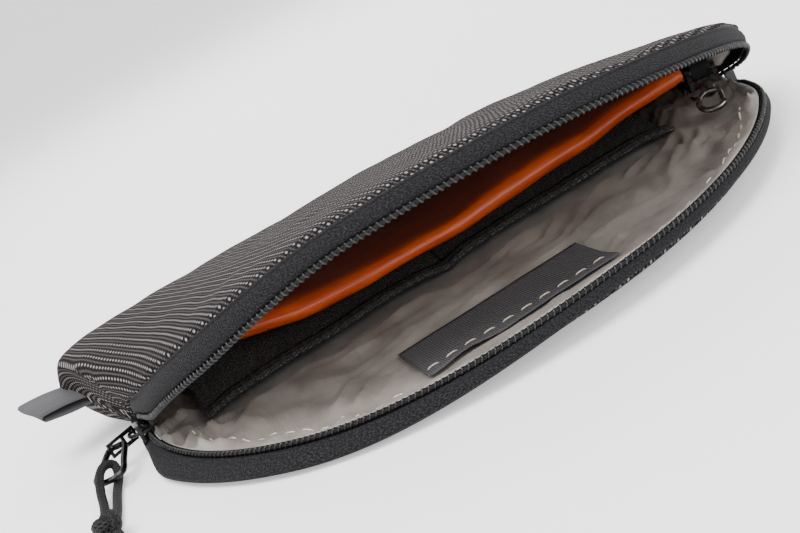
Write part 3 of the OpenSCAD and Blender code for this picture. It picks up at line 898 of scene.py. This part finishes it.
def add_floor_lining():
    """Wrinkled satin from the zip down to the pouch's floor and back under the pockets."""
    s = lip_angles(ZIP_START + 1, TAIL_END - 5, 150)
    front = zip_plan(s, -1.0)
    reach = 0.955 * MOUTH_R * np.sin(np.radians(np.minimum(s, ZIP_END) + 6))
    rear = np.stack([CENTRE[0] + reach, np.full(len(s), CENTRE[1] + 30.0)], 1)
    t = np.concatenate([[0, 0.012, 0.03, 0.055, 0.09], np.linspace(0.13, 1, 70)])
    plan = front[:, None] + t[None, :, None] * (rear - front)[:, None]
    plan[..., 0] = np.minimum(plan[..., 0], notch_limit(plan[..., 1]) - 1.5)
    depth = np.linalg.norm(plan - front[:, None], axis=-1)
    z = 2.3 + 2.6 * (1 - smooth(depth, 0, 6.5)) + 9 * smooth(plan[..., 1] - CENTRE[1], 16, 30)
    z += lip_lift(s)[:, None] * (1 - smooth(depth, 1, 24))
    grid = np.concatenate([plan, z[..., None]], -1)
    ends = smooth(np.abs(grid[..., 0] - CENTRE[0]), 38, 80)
    bend = wave(grid, 24.0, 9.3, 12.0)
    lean = 0.4
    across = grid[..., 0] + lean * grid[..., 1]
    along = grid[..., 1] - lean * grid[..., 0] + bend
    turned = np.stack([across, along, bend], -1)
    folds = creases(turned, (0.35, 1, 0.2), 9.0, 1.7, 3.2)
    cross = creases(turned, (1, 0.3, 0.2), 12.0, 5.2, 3.2)
    fine = creases(turned, (1, 0.7, 0.2), 4.5, 7.2, 3.0)
    calm = smooth(depth, 0.5, 5) * beside(grid, "label_patch") * beside(grid, "card_pocket")
    calm *= beside(grid, "clip_hook", 7.0)
    height = (0.9 + 1.6 * ends) * folds + (0.6 + 1.2 * ends) * cross + (0.3 + 0.3 * ends) * fine
    grid[..., 2] += calm * height
    piece = dress(cloth("satin_lower", grid, 0.35), "satin")
    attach(piece, "pouch")
    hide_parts("lower_lining")
    return piece, grid


def add_pocket():
    """Elastic card pocket: two bays, sewn down at its ends, its back and the divider."""
    low, high = box_mm("card_pocket")
    x = np.linspace(low[0], high[0], 110)
    y = np.linspace(low[1], high[1], 26)
    gx, gy = np.meshgrid(x, y, indexing="ij")
    divide = (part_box("pocket_divider")[0].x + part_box("pocket_divider")[1].x) / 2 / MM
    bay = np.minimum(np.minimum(gx - low[0], high[0] - gx), np.abs(gx - divide) + 0.4)
    rise = smooth(bay, 0, 9) * (1 - 0.55 * smooth(gy, low[1], high[1]))
    z = 4.0 + 1.2 * rise + 0.4 * smooth(bay, 0, 2) + 5.5 * smooth(gy, low[1] + 3, high[1] - 4)
    grid = np.stack([gx, gy + 0.8 * np.sin((gx - low[0]) / 45), z], -1)
    grid[..., 2] += wave(grid, 14.0, 2.2, 0.35)
    piece = dress(cloth("elastic_pocket", grid, 1.0), "elastic")
    hem_rows = grid[:, :5] + np.array([0, -0.4, 0.75])
    hem = dress(cloth("elastic_hem", hem_rows, 0.8), "hem")
    under = grid[:, 0] + np.array([0, -0.2, -0.1])
    roll = dress(tube("hem_fold", under, 0.75, 8), "hem")
    rows = [stitches(f"hem_stitches_{k}", hem_rows[:, j] + np.array([0, 0, 0.05]), 2.0, 0.9, 0.17)
            for k, j in enumerate((1, 3))]
    i = int(np.argmin(np.abs(x - divide)))
    rows.append(stitches("divider_stitches", grid[i, 1:] + np.array([0, 0, 0.1]), 1.8, 0.6, 0.22))
    for row in rows:
        dress(row, "black")
        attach(row, "pouch")
    for item in (piece, hem, roll):
        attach(item, "pouch")
    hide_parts("card_pocket", "pocket_divider")
    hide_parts("pocket_hem")
    return piece


def add_sleeve():
    """Orange folded sleeve: the fold faces the mouth and waves a little."""
    low, high = box_mm("document_sleeve")
    x = np.linspace(low[0], high[0], 130)
    u = (x - low[0]) / (high[0] - low[0])
    front = low[1] + 2.0 - 3.0 * np.sin(u * math.pi) + 0.8 * np.sin(u * 9.5 + 0.6)
    front += 9.0 * (1 - smooth(u, 0, 0.15))
    height = 14.8 - 2.6 * np.sin(u * math.pi) + 0.35 * np.sin(u * 11 + 1.1) + 0.25 * np.sin(u * 23)
    half = 2.3 + 0.3 * np.sin(u * 12.5)
    rear = high[1] - 1.0
    rows = []
    for k in range(64):
        t = k / 63
        if t < 0.42:
            q = 1 - t / 0.42
            y = front + (rear - front) * q
            z = height - half - 1.5 * q
        elif t < 0.58:
            a = (t - 0.42) / 0.16 * math.pi
            y = front - half * 1.15 * np.sin(a)
            z = height - half * np.cos(a)
        else:
            q = (t - 0.58) / 0.42
            y = front + (rear - front) * q
            z = height + half + 2.6 * math.sin(q * 2.4) - 2.4 * q
        rows.append(np.stack([x, y, z + np.zeros_like(x)], 1))
    grid = np.stack(rows, 1)
    grid[..., 2] += wave(grid * np.array([1, 0.5, 1]), 13.0, 6.1, 0.5)
    piece = dress(cloth("orange_sleeve", grid, 0.35), "sleeve")
    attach(piece, "pouch")
    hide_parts("document_sleeve")
    return piece


def drape(points, grid, lift):
    """Puts points on the lining's surface, raised by lift."""
    flat = grid.reshape(-1, 3)
    out = []
    for p in points:
        d = np.sum((flat[:, :2] - p[:2]) ** 2, 1)
        near = np.argsort(d)[:4]
        w = 1 / (d[near] + 0.05)
        out.append((p[0], p[1], float((flat[near, 2] * w).sum() / w.sum()) + lift))
    return np.array(out)


def add_lining_stitches(name, degrees, lining):
    """Row of stitches on the lining, a little inside the zip."""
    a = np.radians(degrees)
    arc = CENTRE[:2] + STITCH_R * np.stack([np.sin(a), -np.cos(a)], 1)
    lane = drape(np.c_[arc, np.zeros(len(arc))], lining, 0.12)
    sewn = dress(stitches(name, lane, 2.8, 1.9, 0.19), "cream")
    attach(sewn, "pouch")


def add_label(lining):
    """Woven ribbon with no wording, sewn to the lining near the mouth."""
    low, high = box_mm("label_patch")
    x = np.linspace(low[0], high[0], 40)
    y = np.linspace(low[1] - 1.5, high[1], 16)
    gx, gy = np.meshgrid(x, y, indexing="ij")
    flat = np.stack([gx, gy, np.zeros_like(gx)], -1)
    grid = drape(flat.reshape(-1, 3), lining, 1.0).reshape(flat.shape)
    grid = relax(grid, 25)
    piece = dress(cloth("ribbon_label", grid, 0.5), "label")
    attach(piece, "pouch")
    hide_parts("label_patch")
    front = grid[:, 3] + np.array([0, 0, 0.15])
    sewn = dress(stitches("label_stitches", front, 2.8, 1.9, 0.17), "cream")
    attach(sewn, "pouch")
    add_lining_stitches("lining_stitches_right", np.linspace(16, 66, 60), lining)
    add_lining_stitches("lining_stitches_left", np.linspace(-74, -26, 50), lining)
    return piece


# ---------------------------------------------------------------- fittings


def add_side_tab():
    """Folded ribbon loop in the left seam, with no word on it."""
    side = REAR[:80, 1] - CENTRE[1]
    first, last = (int(np.argmin(abs(side - y))) for y in (20.0, 33.5))
    root = resample(REAR[[first, (first + last) // 2, last]], 9)
    out = np.array([-0.97, -0.10, 0.16])
    reach = 12.5
    gap = 0.9
    tucked = 1.5
    run = np.linspace(0, 1, 12)
    fold = np.linspace(0.3, 2.84, 8)
    lines = []
    for k, point in enumerate(root):
        sag = 0.35 * math.sin(k * 0.7)
        along = [(tucked - (reach + tucked) * q, gap + 0.5 * math.sin(q * 3) + sag) for q in run]
        along += [(-reach - 0.9 * math.sin(a), gap * math.cos(a) + sag) for a in fold]
        along += [(-reach + (reach + tucked) * q, -gap - 0.4 * math.sin(q * 3) + sag) for q in run]
        lines.append([point - out * r + np.array([0, 0, h]) for r, h in along])
    grid = np.array(lines)
    piece = dress(cloth("tab_ribbon", grid, 0.5), "label")
    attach(piece, "pouch")
    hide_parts("side_tab")


FITTINGS = {"slider_metal": ("slider_body", "slider_bail", "pull_link"), "ring_wire": ("pull_ring",),
            "clip_metal": ("clip_swivel", "clip_hook", "clip_gate"),
            "coil": ("zip_bottom_stop", "zip_top_stop"), "webbing": ("key_strap",)}


def dress_fittings():
    """The CAD's own rigid pieces keep their shapes and get their finishes."""
    for look, nodes in FITTINGS.items():
        for node in nodes:
            mesh = frame["nodes"][node].data
            mesh.materials.clear()
            mesh.materials.append(MATERIALS[look])
            mesh.polygons.foreach_set("use_smooth", [True] * len(mesh.polygons))


# ---------------------------------------------------------------- stage


def add_floor():
    """Pale floor that curves up into a wall far behind; metres."""
    half_width, front_edge, bend, bend_r, wall_top = 6.0, -4.0, 2.0, 1.2, 5.0
    turn = np.linspace(0, math.pi / 2, 25)
    curve = [(bend + bend_r * math.sin(a), bend_r * (1 - math.cos(a))) for a in turn]
    profile = [(front_edge, 0.0)] + curve + [(bend + bend_r, wall_top)]
    verts = [(side * half_width, y, z) for y, z in profile for side in (-1, 1)]
    faces = [[2 * k, 2 * k + 1, 2 * k + 3, 2 * k + 2] for k in range(len(profile) - 1)]
    mesh = bpy.data.meshes.new("floor")
    mesh.from_pydata(verts, [], faces)
    mesh.polygons.foreach_set("use_smooth", [True] * len(mesh.polygons))
    floor = bpy.data.objects.new("floor", mesh)
    bpy.context.scene.collection.objects.link(floor)
    paint = Graph("floor_pale", 0.9)
    paint.colour((0.93, 0.93, 0.93))
    paint.put(paint.shader.inputs["Emission Color"], (1.0, 1.0, 1.0))
    paint.put(paint.shader.inputs["Emission Strength"], 0.45)
    mesh.materials.append(paint.material)


def add_lamp(name, place, size, power, aimed=False):
    """Soft square lamp that shines straight down, or at the object; metres and watts."""
    light = bpy.data.lights.new(name, "AREA")
    light.size = size
    light.energy = power
    lamp = bpy.data.objects.new(name, light)
    lamp.location = place
    if aimed:
        lamp.rotation_euler = (-Vector(place)).to_track_quat("-Z", "Y").to_euler()
    bpy.context.scene.collection.objects.link(lamp)


def add_stage():
    add_floor()
    world = bpy.data.worlds.new("studio")
    world.use_nodes = True
    background = world.node_tree.nodes["Background"]
    background.inputs["Color"].default_value = (1, 1, 1, 1)
    background.inputs["Strength"].default_value = 1.0
    bpy.context.scene.world = world
    add_lamp("key", (-0.25, -0.15, 0.75), 0.55, 9.0)
    add_lamp("front", (0.3, -0.8, 0.45), 0.6, 5.0, aimed=True)
    add_lamp("back", (0.1, 0.6, 0.5), 0.5, 4.0)


add_camera()
add_cord()
top, top_piece, top_lining = add_top_cloth()
base = add_base_cloth()
add_zip()
add_seam_edge(top)
floor_lining, lining = add_floor_lining()
pocket = add_pocket()
sleeve = add_sleeve()
label = add_label(lining)
add_side_tab()
dress_fittings()
add_stage()
